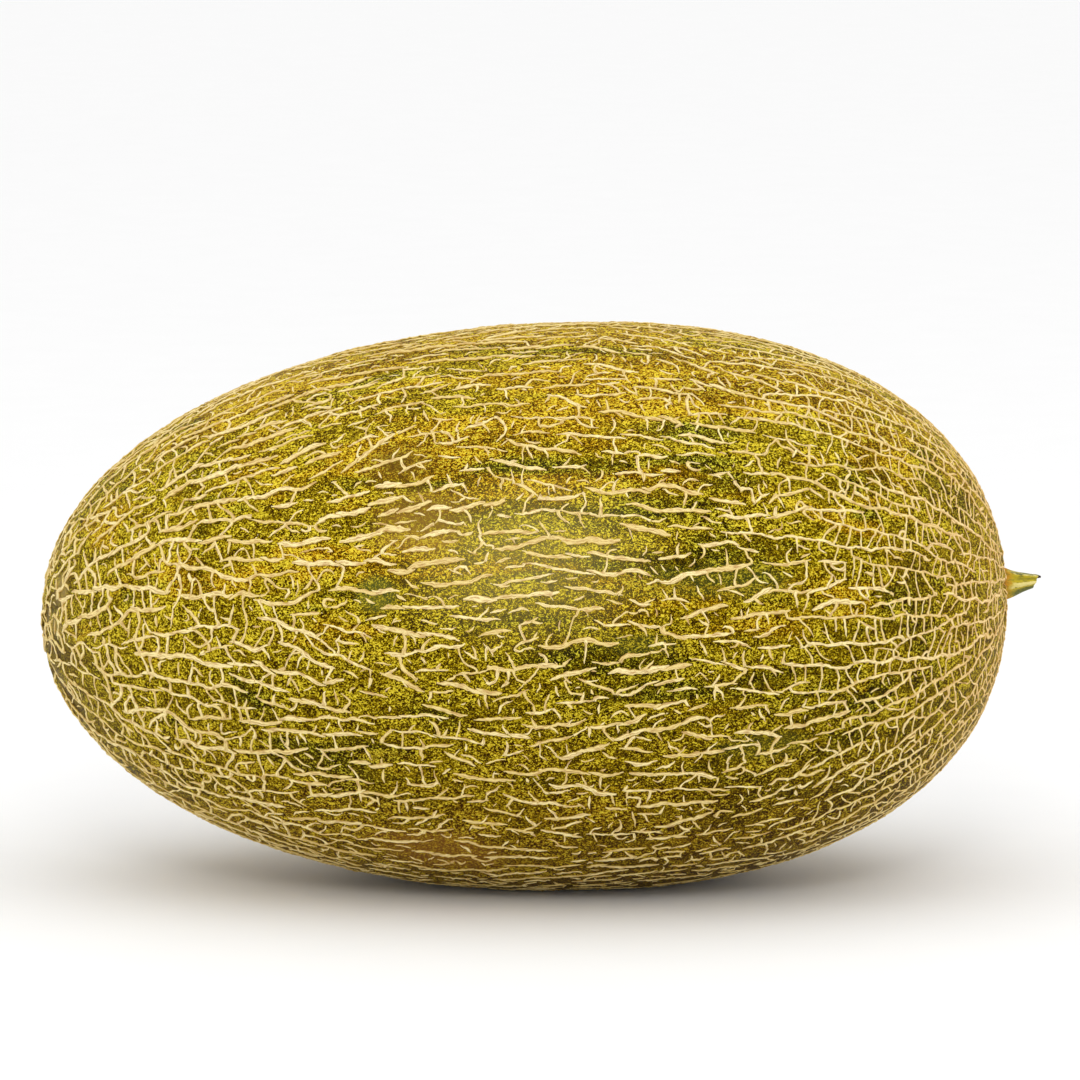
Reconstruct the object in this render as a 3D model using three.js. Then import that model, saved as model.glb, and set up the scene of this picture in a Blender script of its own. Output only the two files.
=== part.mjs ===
// A long netted melon lying on its side, with the short dry stub of its stem.
// Millimetres, +Z up. The origin is on the resting surface, under the middle of the whole length.
// +X runs to the stem end. The blossom end is at -X.

import * as THREE from "three";
import { ConvexHull } from "three/addons/math/ConvexHull.js";
import { mergeVertices } from "three/addons/utils/BufferGeometryUtils.js";

// The fruit's body: two half superellipses turned about the long axis, met at the widest girth.
const GIRTH_RADIUS = 82;
const BLOSSOM_HALF = 154.4;
const STEM_HALF = 124.4;
const BLOSSOM_FULLNESS = 2.05;
const STEM_FULLNESS = 2.25;
const CARPEL_SWELL = 0.8;
const CARPELS = 3;

// How the fruit lies: the stem end is carried a little higher, on a small flat spot.
const AXIS_RISE = THREE.MathUtils.degToRad(1.25);
const FLAT_SPOT_DEPTH = 1.5;

// The stem sits a little above the body's own axis, and the blossom scar a little below it.
const STEM_TILT = THREE.MathUtils.degToRad(2);
const BLOSSOM_TILT = THREE.MathUtils.degToRad(4.2);

// The raised cork net: cells long in the middle of the fruit and small and close at its ends.
const NET_CELLS = 640;
const NET_SEED = 11;
const NET_SCATTER = 0.045;
const RELAX_ROUNDS = 2;
const STEM_CROWDING = 0.4;
const BLOSSOM_CROWDING = 0.3;
const RIDGE_HEIGHT = 1.3;
const RIDGE_HALF_WIDTH = 1.35;
const LEAST_RIDGE = 0.35;
const WIDEST_SHARE = 0.45;
const LEAST_OPENING = 0.5;

// The stub of the stem, which stands on a flat seat at the stem end.
const SEAT_DEPTH = 0.5;
const SEAT_GAP = 0.3;
const STUB_LENGTH = 9.6;
const STUB_ROOT_RADIUS = 4.9;
const STUB_TIP_RADIUS = 1.85;
const STUB_FLARE = 1.5;
const STUB_RIBS = 5;
const STUB_RIB_DEPTH = 0.11;
const STUB_SIDES = 30;
const STUB_RINGS = 9;
const STUB_BEND = 0.5;
const STUB_CUT_SLANT = 0.45;

const RIND_COLOUR = 0x8c7a1c;
const STEM_COLOUR = 0xb2a03c;

const AXIS_UP = new THREE.Vector3(0, -1, 0);

function seededRandom(seed) {
  let state = seed;
  return () => {
    state = (state + 0x6d2b79f5) | 0;
    let mixed = Math.imul(state ^ (state >>> 15), 1 | state);
    mixed = (mixed + Math.imul(mixed ^ (mixed >>> 7), 61 | mixed)) ^ mixed;
    return ((mixed ^ (mixed >>> 14)) >>> 0) / 2 ** 32;
  };
}

// The body's half length and fullness on the side that a point is on.
function endOf(side) {
  return side < 0
    ? { half: BLOSSOM_HALF, fullness: BLOSSOM_FULLNESS }
    : { half: STEM_HALF, fullness: STEM_FULLNESS };
}

// A point of the body in a direction of the unit ball, raised off the skin by lift.
function bodyPoint(direction, lift) {
  const { half, fullness } = endOf(direction.x);
  const share = Math.min(Math.abs(direction.x), 1);
  const turn = Math.atan2(direction.z, direction.y);
  const around = (1 - share ** fullness) ** (1 / fullness);
  const swell = CARPEL_SWELL * around * Math.cos(CARPELS * turn);
  const radius = GIRTH_RADIUS * around + swell;
  const normal = new THREE.Vector3(
    (Math.sign(direction.x) * share ** (fullness - 1)) / half,
    (around ** (fullness - 1) * Math.cos(turn)) / GIRTH_RADIUS,
    (around ** (fullness - 1) * Math.sin(turn)) / GIRTH_RADIUS,
  ).normalize();
  return new THREE.Vector3(
    direction.x * half,
    radius * Math.cos(turn),
    radius * Math.sin(turn),
  ).addScaledVector(normal, lift);
}

// Where a point of the net's own ball lies on the unit ball of the body.
function netDirection(point) {
  const crowding = point.x < 0 ? BLOSSOM_CROWDING : STEM_CROWDING;
  const x = point.x * (1 + crowding - crowding * point.x ** 2);
  const around = Math.sqrt(Math.max(1 - x * x, 0));
  const turn = Math.atan2(point.z, point.y);
  const tilt = THREE.MathUtils.lerp(BLOSSOM_TILT, STEM_TILT, (1 + x) / 2);
  return new THREE.Vector3(
    x,
    around * Math.cos(turn),
    around * Math.sin(turn),
  ).applyAxisAngle(AXIS_UP, tilt);
}

// Even places on a ball along a spiral, each moved a little at random, with one at each pole.
function scatteredSeeds() {
  const random = seededRandom(NET_SEED);
  const goldenTurn = Math.PI * (3 - Math.sqrt(5));
  const seeds = [new THREE.Vector3(1, 0, 0), new THREE.Vector3(-1, 0, 0)];
  for (let i = 1; i < NET_CELLS - 1; i++) {
    const x = 1 - (2 * i) / (NET_CELLS - 1);
    const around = Math.sqrt(1 - x * x);
    const seed = new THREE.Vector3(
      x + NET_SCATTER * (random() - 0.5),
      around * Math.cos(i * goldenTurn) + NET_SCATTER * (random() - 0.5),
      around * Math.sin(i * goldenTurn) + NET_SCATTER * (random() - 0.5),
    );
    seeds.push(seed.normalize());
  }
  return seeds;
}

// The net's cells on its ball: each seed's ring of corners, in order round it seen from outside.
function netCells(seeds) {
  const hull = new ConvexHull().setFromPoints(seeds);
  const cornerOf = new Map(hull.faces.map((face, i) => [face, i]));
  const corners = hull.faces.map((face) => face.normal.clone().normalize());
  const ringOf = new Map();
  for (const face of hull.faces) {
    let edge = face.edge;
    do {
      const seed = edge.head().point;
      if (!ringOf.has(seed)) ringOf.set(seed, ringAround(edge, cornerOf));
      edge = edge.next;
    } while (edge !== face.edge);
  }
  return { corners, cells: seeds.map((seed) => ({ seed, ring: ringOf.get(seed) })) };
}

function ringAround(firstEdge, cornerOf) {
  const ring = [];
  let edge = firstEdge;
  do {
    ring.unshift(cornerOf.get(edge.face));
    edge = edge.next.twin;
  } while (edge !== firstEdge);
  return ring;
}

// Each seed moves to the middle of its cell's corners, which evens out the cells. The poles stay.
function relax(seeds) {
  const { corners, cells } = netCells(seeds);
  return cells.map(({ seed, ring }, i) => {
    if (i < 2) return seed;
    const middle = new THREE.Vector3();
    for (const corner of ring) middle.add(corners[corner]);
    return middle.normalize();
  });
}

// The body's frame to the part's: the stem end rises, and nothing is lower than the surface.
function laidDown(point, rest) {
  const turned = point.clone().applyAxisAngle(AXIS_UP, AXIS_RISE);
  turned.x += rest.shift;
  turned.z = Math.max(turned.z + rest.lift, 0);
  return turned;
}

// Where the skin stops against the seat of the stem.
function seated(point, seat) {
  point.x = Math.min(point.x, seat.x);
  return point;
}

// The place inside a cell's corner that is a ridge's half width from both of its edges.
function innerCorner(corner, before, after, middle, halfWidth) {
  const back = before.clone().sub(corner);
  const ahead = after.clone().sub(corner);
  const inward = middle.clone().sub(corner);
  const widest = WIDEST_SHARE * Math.min(inward.length(), Math.max(back.length(), ahead.length()));
  const opening = Math.max(Math.sin(back.angleTo(ahead) / 2), LEAST_OPENING);
  const way = back.normalize().add(ahead.normalize()).add(inward.normalize()).normalize();
  return corner.clone().addScaledVector(way, Math.min(halfWidth / opening, widest));
}

function fruitGeometry(rest, seat) {
  const random = seededRandom(NET_SEED + 1);
  let seeds = scatteredSeeds();
  for (let round = 0; round < RELAX_ROUNDS; round++) seeds = relax(seeds);
  const { corners, cells } = netCells(seeds);

  const positions = [];
  const triangles = [];
  const addVertex = (point) => {
    positions.push(...laidDown(seated(point, seat), rest).toArray());
    return positions.length / 3 - 1;
  };

  const directions = corners.map(netDirection);
  const feet = directions.map((direction) => bodyPoint(direction, 0));
  const crests = directions.map((direction) => {
    const ridge = LEAST_RIDGE + (1 - LEAST_RIDGE) * Math.sqrt(random());
    return addVertex(bodyPoint(direction, RIDGE_HEIGHT * ridge));
  });

  for (const { seed, ring } of cells) {
    const middle = bodyPoint(netDirection(seed), 0);
    const hub = addVertex(middle.clone());
    const inner = ring.map((corner, i) => {
      const before = feet[ring[(i + ring.length - 1) % ring.length]];
      const after = feet[ring[(i + 1) % ring.length]];
      return addVertex(innerCorner(feet[corner], before, after, middle, RIDGE_HALF_WIDTH));
    });
    ring.forEach((corner, i) => {
      const j = (i + 1) % ring.length;
      triangles.push(hub, inner[i], inner[j]);
      triangles.push(inner[i], crests[corner], crests[ring[j]]);
      triangles.push(inner[i], crests[ring[j]], inner[j]);
    });
  }
  return new THREE.BufferGeometry()
    .setAttribute("position", new THREE.Float32BufferAttribute(positions, 3))
    .setIndex(triangles);
}

// The stub's radius from its root, where it spreads onto the fruit, to its cut end.
function stubRadius(share) {
  return STUB_TIP_RADIUS + (STUB_ROOT_RADIUS - STUB_TIP_RADIUS) * (1 - share) ** STUB_FLARE;
}

// The stub along +Z from its root, ribbed, leaning towards +Y, with a slanting cut end.
function stubGeometry() {
  const profile = [new THREE.Vector2(0, 0)];
  for (let i = 0; i <= STUB_RINGS; i++) {
    const share = i / STUB_RINGS;
    profile.push(new THREE.Vector2(stubRadius(share), STUB_LENGTH * share));
  }
  profile.push(new THREE.Vector2(0, STUB_LENGTH));
  const lathe = new THREE.LatheGeometry(profile, STUB_SIDES).rotateX(Math.PI / 2);
  lathe.deleteAttribute("normal");
  lathe.deleteAttribute("uv");
  const geometry = mergeVertices(lathe);
  const place = geometry.getAttribute("position");
  const point = new THREE.Vector3();
  for (let i = 0; i < place.count; i++) {
    point.fromBufferAttribute(place, i);
    const share = point.z / STUB_LENGTH;
    const turn = Math.atan2(point.y, point.x);
    const rib = 1 + STUB_RIB_DEPTH * Math.cos(STUB_RIBS * turn);
    const bend = STUB_BEND * share ** 2;
    const slant = STUB_CUT_SLANT * share ** 4 * point.y;
    place.setXYZ(i, point.x * rib, point.y * rib + bend, point.z + slant);
  }
  return geometry;
}

// The flat seat of the stem, across the body's axis at the stem's pole.
const stemPole = bodyPoint(netDirection(new THREE.Vector3(1, 0, 0)), 0);
const seat = { x: STEM_HALF - SEAT_DEPTH, z: stemPole.z };

// The body lies with its lowest skin one flat spot's depth under the surface.
const wholeLength = BLOSSOM_HALF + seat.x + SEAT_GAP + STUB_LENGTH;
const rest = {
  lift: GIRTH_RADIUS - FLAT_SPOT_DEPTH,
  shift: BLOSSOM_HALF - wholeLength / 2,
};

const fruit = new THREE.Mesh(
  fruitGeometry(rest, seat),
  new THREE.MeshStandardMaterial({ color: RIND_COLOUR, roughness: 0.6, metalness: 0 }),
);
fruit.name = "fruit";

const stem = new THREE.Mesh(
  stubGeometry(),
  new THREE.MeshStandardMaterial({ color: STEM_COLOUR, roughness: 0.7, metalness: 0 }),
);
stem.name = "stem";
stem.rotation.set(Math.PI / 2, Math.PI / 2, 0);
stem.position.set(seat.x + SEAT_GAP, 0, seat.z);

// The frame of the body's own axis, in which the stub stands.
const bodyAxis = new THREE.Group();
bodyAxis.position.set(rest.shift, 0, rest.lift);
bodyAxis.quaternion.setFromAxisAngle(AXIS_UP, AXIS_RISE);
bodyAxis.add(stem);

const melon = new THREE.Group();
melon.add(fruit, bodyAxis);

export default melon;
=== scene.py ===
import math
import random

import bpy
import numpy as np
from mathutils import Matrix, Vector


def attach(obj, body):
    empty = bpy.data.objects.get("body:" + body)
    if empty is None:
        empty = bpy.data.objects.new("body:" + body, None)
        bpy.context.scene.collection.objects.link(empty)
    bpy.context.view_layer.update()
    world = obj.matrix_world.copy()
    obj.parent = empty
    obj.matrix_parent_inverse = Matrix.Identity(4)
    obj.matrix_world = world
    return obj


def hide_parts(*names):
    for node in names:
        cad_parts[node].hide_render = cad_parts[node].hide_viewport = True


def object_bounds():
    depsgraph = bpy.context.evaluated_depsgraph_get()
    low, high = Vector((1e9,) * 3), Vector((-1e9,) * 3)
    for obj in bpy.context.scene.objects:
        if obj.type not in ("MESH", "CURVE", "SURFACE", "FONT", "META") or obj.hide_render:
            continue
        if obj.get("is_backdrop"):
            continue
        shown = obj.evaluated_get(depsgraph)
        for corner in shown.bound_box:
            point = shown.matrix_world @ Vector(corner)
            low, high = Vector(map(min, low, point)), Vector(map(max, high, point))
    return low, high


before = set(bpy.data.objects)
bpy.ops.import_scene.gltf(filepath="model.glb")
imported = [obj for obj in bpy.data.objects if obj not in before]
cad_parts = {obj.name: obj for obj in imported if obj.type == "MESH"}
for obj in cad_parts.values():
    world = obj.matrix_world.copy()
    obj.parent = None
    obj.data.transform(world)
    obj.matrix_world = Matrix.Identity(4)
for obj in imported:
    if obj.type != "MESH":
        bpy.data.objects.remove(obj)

CAD_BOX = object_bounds()

# Lengths are in millimetres until a mesh is made. The body's own frame has +x to the stem end.
MM = 0.001

# The fruit's body: two half superellipses turned about the long axis, met at the widest girth.
GIRTH_RADIUS = 82.0
BLOSSOM_HALF = 154.4
STEM_HALF = 124.4
BLOSSOM_FULLNESS = 2.05
STEM_FULLNESS = 2.25
CARPEL_SWELL = 0.8
CARPELS = 3

# How the fruit lies, and where the stem and the blossom scar sit.
AXIS_RISE = math.radians(1.25)
FLAT_SPOT_DEPTH = 1.5
STEM_TILT = math.radians(2.0)
BLOSSOM_TILT = math.radians(4.2)
SEAT_DEPTH = 0.5
SEAT_GAP = 0.3
STUB_LENGTH = 9.6
SHIFT = BLOSSOM_HALF - (BLOSSOM_HALF + STEM_HALF - SEAT_DEPTH + SEAT_GAP + STUB_LENGTH) / 2
LIFT = GIRTH_RADIUS - FLAT_SPOT_DEPTH

# The skin is a little uneven, is folded at its ends, and is pressed flat where it rests.
UNEVENNESS = 0.22
PUCKER_DEPTH = 0.6
PUCKER_REACH = {"stem": 24.0, "blossom": 34.0}
PUCKERS = 9
PRESSED_NET = 0.75

# The net grows step by step from random places. Lengths are in millimetres, angles in radians.
NET_SEED = 5
GROWTH_STEP = 0.8
TOUCH = GROWTH_STEP * 1.25
POLE_CLEARANCE = 2.4
WHOLE_TURN = 6.28
LONG_TRIES = 24000
RUNG_TRIES = 28000
STRAY_TRIES = 16000
TWIG_TRIES = 600

# Where the net of the stem end, of the blossom end and of the belly begins and is complete.
STEM_ZONE = (43, 92)
BLOSSOM_ZONE = (55, 125)
BELLY = (-5, -60)

# Three values each: (middle of the fruit, stem end, blossom end). A gap is kept to older cracks when
# one starts, a hold when it grows, and a join is the chance that it runs into the crack it meets.
LONG_GAP = (4.15, 4.3, 4.5)
LONG_WANDER = (0.09, 0.12, 0.15)
LONG_HOLD = (1.7, 2.5, 2.7)
LONG_JOIN = (0.06, 0.5, 0.35)
RUNG_GAP = (2.5, 1.45, 2.1)
RUNG_WANDER = (0.17, 0.1, 0.18)
RUNG_HOLD = (1.1, 1.4, 1.5)
RUNG_JOIN = (0.5, 0.92, 0.6)
RUNG_WIDTH = ((0.5, 0.9), (0.42, 0.76), (0.6, 1.2))
STRAY_GAP = (1.85, 1.75, 1.75)
STRAY_HEADING = (0.35, 1.0, 0.9)

# Usual lengths of cracks, and bounds between which a length or a width is drawn. LONG_DASH is for
# open skin, and for the belly and the patches of cracks across.
LONG_DASH = (20, 12)
LONG_RUN_AT_ENDS = (35, 110)
LONG_LEAST_STEPS = 5
LONG_NARROWEST = 0.7
LONG_BREADTH = (0.25, 1.35)
LONG_WIDTH_STEM = (0.64, 1.1)
LONG_WIDTH_BLOSSOM = (0.95, 1.75)
CHAIN_LEAST_STEPS = 15
CHAIN_LINK = (8, 27)
CHAIN_SLANT = (0.15, 0.8)
RUNG_DASH = 3.6
RUNG_RUN_AT_ENDS = (5, 22)
STRAY_DASH = 3.9
STRAY_WIDTH = (0.48, 0.8)
TWIG_RUN = (1.0, 2.8)
TWIG_WIDTH = (0.35, 0.6)
TWIG_CLEAR_OF_POLE = 6

# Where the cracks of the middle run more across the fruit, or less (below 0): middle, reach, how much.
CROSS_PATCHES = (
    ((19, -53, 63), 24, 1.0),
    ((61, -63, 40), 17, 0.9),
    ((-30, -54, 61), 22, 0.9),
    ((-75, -70, -15), 26, 0.6),
    ((-8, -80, -14), 18, 1.0),
    ((62, -72, -12), 22, 0.9),
    ((7, -80, 18), 20, -1.2),
    ((-43, -77, 12), 16, -0.6),
)

# A ridge's outline across the crack: (share of the half width, share of the height). The feet, marked
# None, are sunk in the skin.
ROUND_RIDGE = ((-1, None), (-0.64, 0.84), (0, 1), (0.64, 0.84), (1, None))
SPLIT_RIDGE = ((-1, None), (-0.76, 0.76), (-0.3, 1), (0, 0.8), (0.3, 1), (0.76, 0.76), (1, None))
SPLIT_WIDTH = 1.2
RIDGE_HEIGHT = 0.28
FOOT_DEPTH = 0.16
PATH_JITTER = 0.07
TAPER_LENGTH = 2.8
TAPER_SHARE = 0.32
TIP_SHARE = 0.13
JOINT_SPREAD = 0.45
JOINT_REACH = 1.1

# The net's pieces, each with the place on the body's axis that it runs up to.
NET_PARTS = (
    ("net_blossom_end", -95), ("net_blossom_side", -52), ("net_girth", -5),
    ("net_shoulder", 38), ("net_stem_side", 82), ("net_stem_end", 200),
)

# The stem stub, the dark wisp on its cut, and the scar of the blossom.
STUB_ROOT_RADIUS = 4.9
STUB_TIP_RADIUS = 1.85
STUB_FLARE = 1.25
STUB_RIBS = 5
STUB_BEND = 0.5
STUB_CUT_SLANT = 0.45
STUB_CUT_HOLLOW = 0.45
STUB_SINK = 1.2
STUB_STANDS = 9.1
STUB_DROP = 0.7
WISP_RADIUS = 0.72
WISP_LENGTH = 3.1
WISP_ROOTED = 1.6
WISP_UP = 1.0
SCAR_RADIUS = 4.0
SCAR_STANDS = 0.42
SCAR_SINK = 1.0

# Camera and light, in metres, watts and radians.
VIEW_HEIGHT = 312.4 * MM
SENSOR_WIDTH = 36
CAMERA_AWAY = 1.9
CAMERA_ELEVATION = math.radians(8)
CAMERA_AIM = (0.0, 0.0, 0.0995)
LIGHT_AIM = (0, 0, 0.08)
WORLD_STRENGTH = 0.7
CEILING_STRENGTH = 1.08
CEILING_SPREAD = math.radians(80)
CEILING_LEAN = math.radians(12)
SOFT_BOXES = (
    ("front_high", (-0.05, -1.5, 0.95), 0.4, 4.3),
    ("left_side", (-1.5, -0.4, 0.5), 0.8, 2.0),
    ("right_side", (1.5, -0.4, 0.5), 0.8, 3.0),
)


def smooth(low, high, value):
    share = np.clip((value - low) / (high - low), 0, 1)
    return share * share * (3 - 2 * share)


def mix(a, b, share):
    return a + (b - a) * share


# The body


def ends_of(x):
    """(half length, fullness) of the body on the side that x is on."""
    return (
        np.where(x < 0, BLOSSOM_HALF, STEM_HALF),
        np.where(x < 0, BLOSSOM_FULLNESS, STEM_FULLNESS),
    )


def turned_up(points, angle):
    """Points turned about the cross axis, so that the stem end rises."""
    x, y, z = np.moveaxis(points, -1, 0)
    cosine, sine = np.cos(angle), np.sin(angle)
    return np.stack([x * cosine - z * sine, y, x * sine + z * cosine], -1)


def unevenness(points):
    """Slow swells of the skin, from -1 to 1."""
    x, y, z = np.moveaxis(points, -1, 0)
    return (
        np.sin(0.071 * x + 0.11 * y + 1.3) * np.sin(0.13 * z + 0.05 * x)
        + np.sin(0.052 * x - 0.17 * z + 0.4) * np.sin(0.15 * y + 2.1)
        + 0.6 * np.sin(0.19 * x + 0.6) * np.sin(0.24 * y + 0.27 * z)
    ) / 2.6


def pucker(points, end):
    """The folds that run in to the fruit's end: below 0 in a furrow."""
    away = points - (STEM_POLE if end == "stem" else BLOSSOM_POLE)
    far = np.linalg.norm(away, axis=-1)
    ray = np.arctan2(away[..., 2], away[..., 1])
    fold = np.cos(PUCKERS * ray + 0.6 * np.sin(2 * ray)) - 0.5
    return fold * smooth(2, 9, far) * np.exp(-((far / PUCKER_REACH[end]) ** 2))


def skin(directions):
    """Points of the skin and its outward directions, for directions of the unit ball."""
    half, fullness = ends_of(directions[..., 0])
    share = np.clip(np.abs(directions[..., 0]), 0, 1)
    turn = np.arctan2(directions[..., 2], directions[..., 1])
    around = (1 - share**fullness) ** (1 / fullness)
    radius = GIRTH_RADIUS * around + CARPEL_SWELL * around * np.cos(CARPELS * turn)
    steep = around ** (fullness - 1) / GIRTH_RADIUS
    along = np.sign(directions[..., 0]) * share ** (fullness - 1) / half
    outward = np.stack([along, steep * np.cos(turn), steep * np.sin(turn)], -1)
    outward /= np.linalg.norm(outward, axis=-1, keepdims=True)
    points = np.stack([directions[..., 0] * half, radius * np.cos(turn), radius * np.sin(turn)], -1)
    relief = UNEVENNESS * unevenness(points)
    relief += PUCKER_DEPTH * (pucker(points, "stem") + pucker(points, "blossom"))
    return points + outward * relief[..., None], outward


def pole_point(side, tilt):
    """Where a pole of the net is on the body, without the skin's relief."""
    half, fullness = (STEM_HALF, STEM_FULLNESS) if side > 0 else (BLOSSOM_HALF, BLOSSOM_FULLNESS)
    share = math.cos(tilt)
    height = side * GIRTH_RADIUS * (1 - share**fullness) ** (1 / fullness)
    return np.array([side * share * half, 0.0, height])


STEM_POLE = pole_point(1, STEM_TILT)
BLOSSOM_POLE = pole_point(-1, BLOSSOM_TILT)


def laid_down(points, lift):
    """Points of the body's frame in the part's frame, in metres, pressed flat at the resting spot."""
    turned = turned_up(points, AXIS_RISE) + np.array([SHIFT, 0.0, LIFT])
    floor = PRESSED_NET - np.clip(lift, -0.2, PRESSED_NET)
    turned[..., 2] = np.maximum(turned[..., 2], floor)
    return turned * MM


# The net's growth


class Meridian:
    """The body's outline from the blossom pole to the stem pole, by its arc length."""

    def __init__(self, spacing=0.25):
        x = -np.cos(np.linspace(0, math.pi, 6001))
        x = np.where(x < 0, x * BLOSSOM_HALF, x * STEM_HALF)
        half, fullness = ends_of(x)
        radius = GIRTH_RADIUS * (1 - np.clip(np.abs(x) / half, 0, 1) ** fullness) ** (1 / fullness)
        arc = np.concatenate([[0], np.cumsum(np.hypot(np.diff(x), np.diff(radius)))])
        self.length = float(arc[-1])
        self.spacing = spacing
        even = np.arange(0, self.length, spacing)
        self.x = np.interp(even, arc, x).tolist()
        self.radius = np.interp(even, arc, radius).tolist()

    def at(self, arc):
        """(place on the axis, radius) at an arc length."""
        place = min(max(arc / self.spacing, 0), len(self.x) - 2)
        i = int(place)
        share = place - i
        return (
            mix(self.x[i], self.x[i + 1], share),
            max(mix(self.radius[i], self.radius[i + 1], share), 0.01),
        )

    def directions(self, places):
        """Directions of the unit ball for (arc length, turn) places; the poles are off the axis."""
        x = np.interp(places[:, 0], np.arange(len(self.x)) * self.spacing, self.x)
        share = np.clip(x / ends_of(x)[0], -1, 1)
        around = np.sqrt(1 - share**2)
        straight = np.stack([share, around * np.cos(places[:, 1]), around * np.sin(places[:, 1])], -1)
        return turned_up(straight, mix(BLOSSOM_TILT, STEM_TILT, (1 + share) / 2))


class Crack:
    """A crack of the skin that cork has filled: its run of places, its width, and which ends are free."""

    def __init__(self, run, width, free_start, free_end):
        self.run = run
        self.width = width
        self.free_start = free_start
        self.free_end = free_end


class Net:
    """The cracks of the skin, grown one by one: each stops short of an older one or joins it."""

    CELL = 3.0

    def __init__(self, seed):
        self.dice = random.Random(seed)
        self.meridian = Meridian()
        self.cracks = []
        self.cells = {}
        self.waves = [
            [self.dice.uniform(-1, 1) for _ in range(3)] + [self.dice.uniform(0, WHOLE_TURN)]
            for _ in range(6)]

    def point(self, arc, turn):
        """A place as a point of the body."""
        x, radius = self.meridian.at(arc)
        return (x, radius * math.cos(turn), radius * math.sin(turn))

    def drift(self, point, size):
        """A smooth field over the body, about -1 to 1, that changes over the size given."""
        x, y, z = point
        return sum(
            math.sin(WHOLE_TURN * (a * x + b * y + c * z) / size + d) for a, b, c, d in self.waves) / 3

    def marks_near(self, point, reach):
        """The marked places of the cells that are within reach."""
        size = self.CELL
        spans = [range(int((part - reach) // size), int((part + reach) // size) + 1) for part in point]
        for i in spans[0]:
            for j in spans[1]:
                for k in spans[2]:
                    yield from self.cells.get((i, j, k), ())

    def nearest(self, point, reach, own):
        """The nearest place of another crack within reach: (distance, place), or None."""
        x, y, z = point
        best = None
        limit = reach * reach
        for a, b, c, place, number in self.marks_near(point, reach):
            away = (a - x) ** 2 + (b - y) ** 2 + (c - z) ** 2
            if away < limit and number != own:
                limit = away
                best = place
        return best and (math.sqrt(limit), best)

    def crowded(self, point, gap, own=None):
        """Whether another crack is nearer than the gap."""
        x, y, z = point
        limit = gap * gap
        for a, b, c, _, number in self.marks_near(point, gap):
            if (a - x) ** 2 + (b - y) ** 2 + (c - z) ** 2 < limit and number != own:
                return True
        return False

    def add(self, run, width, free_start, free_end):
        """Keeps a crack, and marks its places in the cells."""
        number = len(self.cracks)
        self.cracks.append(Crack(run, width, free_start, free_end))
        for place in run:
            point = self.point(*place)
            cell = tuple(int(part // self.CELL) for part in point)
            self.cells.setdefault(cell, []).append((*point, place, number))

    def zone(self, arc, turn):
        """(share of the stem end, share of the blossom end) at a place."""
        x, _ = self.meridian.at(arc)
        wave = 9.0 * self.drift(self.point(arc, turn), 120.0)
        return float(smooth(*STEM_ZONE, x + wave)), float(smooth(*BLOSSOM_ZONE, wave - x))

    def zoned(self, setting, stem, blossom):
        """A setting's value between those of the middle and the ends."""
        middle, at_stem, at_blossom = setting
        return middle + (at_stem - middle) * stem + (at_blossom - middle) * blossom

    def crossness(self, place):
        """How far the cracks of the middle run across the fruit, 0 to 1."""
        point = self.point(*place)
        share = 0.4 + 0.7 * self.drift((0.6 * point[0], point[1], point[2]), 62.0)
        for middle, reach, strength in CROSS_PATCHES:
            share += strength * math.exp(-((math.dist(point, middle) / reach) ** 2))
        return min(max(share, 0), 1)

    def dash(self, median, spread, shortest, longest):
        """A random length: many are short and few are long."""
        return min(max(math.exp(self.dice.gauss(math.log(median), spread)), shortest), longest)

    def random_place(self):
        """A place anywhere on the skin, all of it alike."""
        while True:
            arc = self.dice.uniform(5, self.meridian.length - 4)
            if self.dice.random() < self.meridian.at(arc)[1] / GIRTH_RADIUS:
                return arc, self.dice.uniform(0, 2 * math.pi)

    def grow(self, start, heading, length, wander, bend, hold, join, parent=None):
        """Steps over the skin until the length is run or a crack is near: (run, whether it joined)."""
        dice = self.dice
        arc, turn = start
        run = []
        sway = dice.gauss(0, wander)
        wave = dice.uniform(8, 15)
        phase = dice.uniform(0, WHOLE_TURN)
        swing = wander * dice.uniform(0.8, 2.4)
        travelled = 0.0
        while travelled < length:
            sway = 0.72 * sway + dice.gauss(0, wander)
            heading += bend * GROWTH_STEP
            way = heading + sway + swing * math.sin(WHOLE_TURN * travelled / wave + phase)
            _, radius = self.meridian.at(arc)
            if radius < POLE_CLEARANCE:
                return run, True
            arc += GROWTH_STEP * math.cos(way)
            turn += GROWTH_STEP * math.sin(way) / radius
            travelled += GROWTH_STEP
            near = self.nearest(self.point(arc, turn), max(hold, TOUCH), parent)
            if near and (near[0] < TOUCH or dice.random() < join):
                if near[0] > GROWTH_STEP * 0.5:
                    run.append((arc, turn))
                run.append(near[1])
                return run, True
            if near:
                return run, False
            run.append((arc, turn))
        return run, False

    def grow_both_ways(self, start, heading, length, wander, bend, hold, join):
        """(run through the start, whether its start joined, whether its end joined)."""
        ahead, joined_ahead = self.grow(start, heading, length / 2, wander, bend, hold, join)
        behind, joined_behind = self.grow(start, heading + math.pi, length / 2, wander, -bend, hold, join)
        return behind[::-1] + [start] + ahead, joined_behind, joined_ahead

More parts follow.
